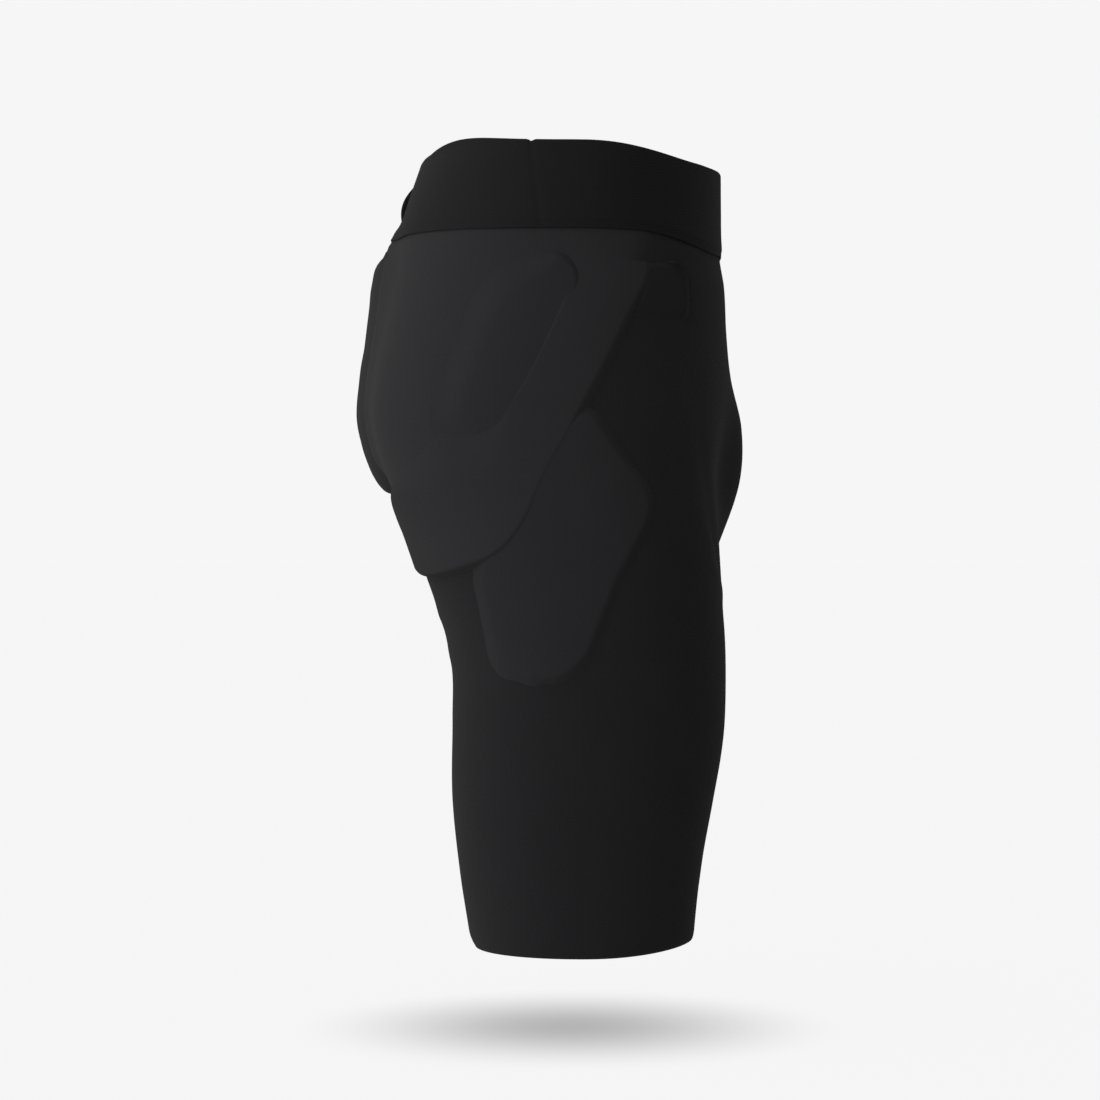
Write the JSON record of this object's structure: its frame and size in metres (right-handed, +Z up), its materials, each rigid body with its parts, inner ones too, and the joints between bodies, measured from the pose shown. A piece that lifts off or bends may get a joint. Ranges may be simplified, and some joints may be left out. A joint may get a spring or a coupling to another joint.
{
  "type": "padded sports shorts",
  "caption": "Snug padded shorts with a wide waistband and foam pads over hip, thigh, seat and tailbone, keeping the form of the body in them.",
  "frame": {"origin": "middle of the waist opening at half the height of the waistband", "axes": "-Y is the wearer's front, -X the wearer's right, +Z up; the legs point down"},
  "size_m": [0.371, 0.2492, 0.4988],
  "materials": {
    "stretch_cloth": "matte black knitted stretch cloth",
    "pad_cover": "matte black knitted cloth drawn over foam",
    "elastic_band": "matte black ribbed elastic",
    "webbing": "dark woven tape"
  },
  "bodies": {
    "root": {"shorts_body": "stretch_cloth", "waistband": "elastic_band", "back_loop": "webbing", "hip_pad_right": "pad_cover", "hip_pad_left": "pad_cover", "upper_hip_pad_right": "pad_cover", "upper_hip_pad_left": "pad_cover", "thigh_pad_right": "pad_cover", "thigh_pad_left": "pad_cover", "front_hip_pad_right": "pad_cover", "front_hip_pad_left": "pad_cover", "tailbone_pad": "pad_cover"}
  },
  "joints": []
}
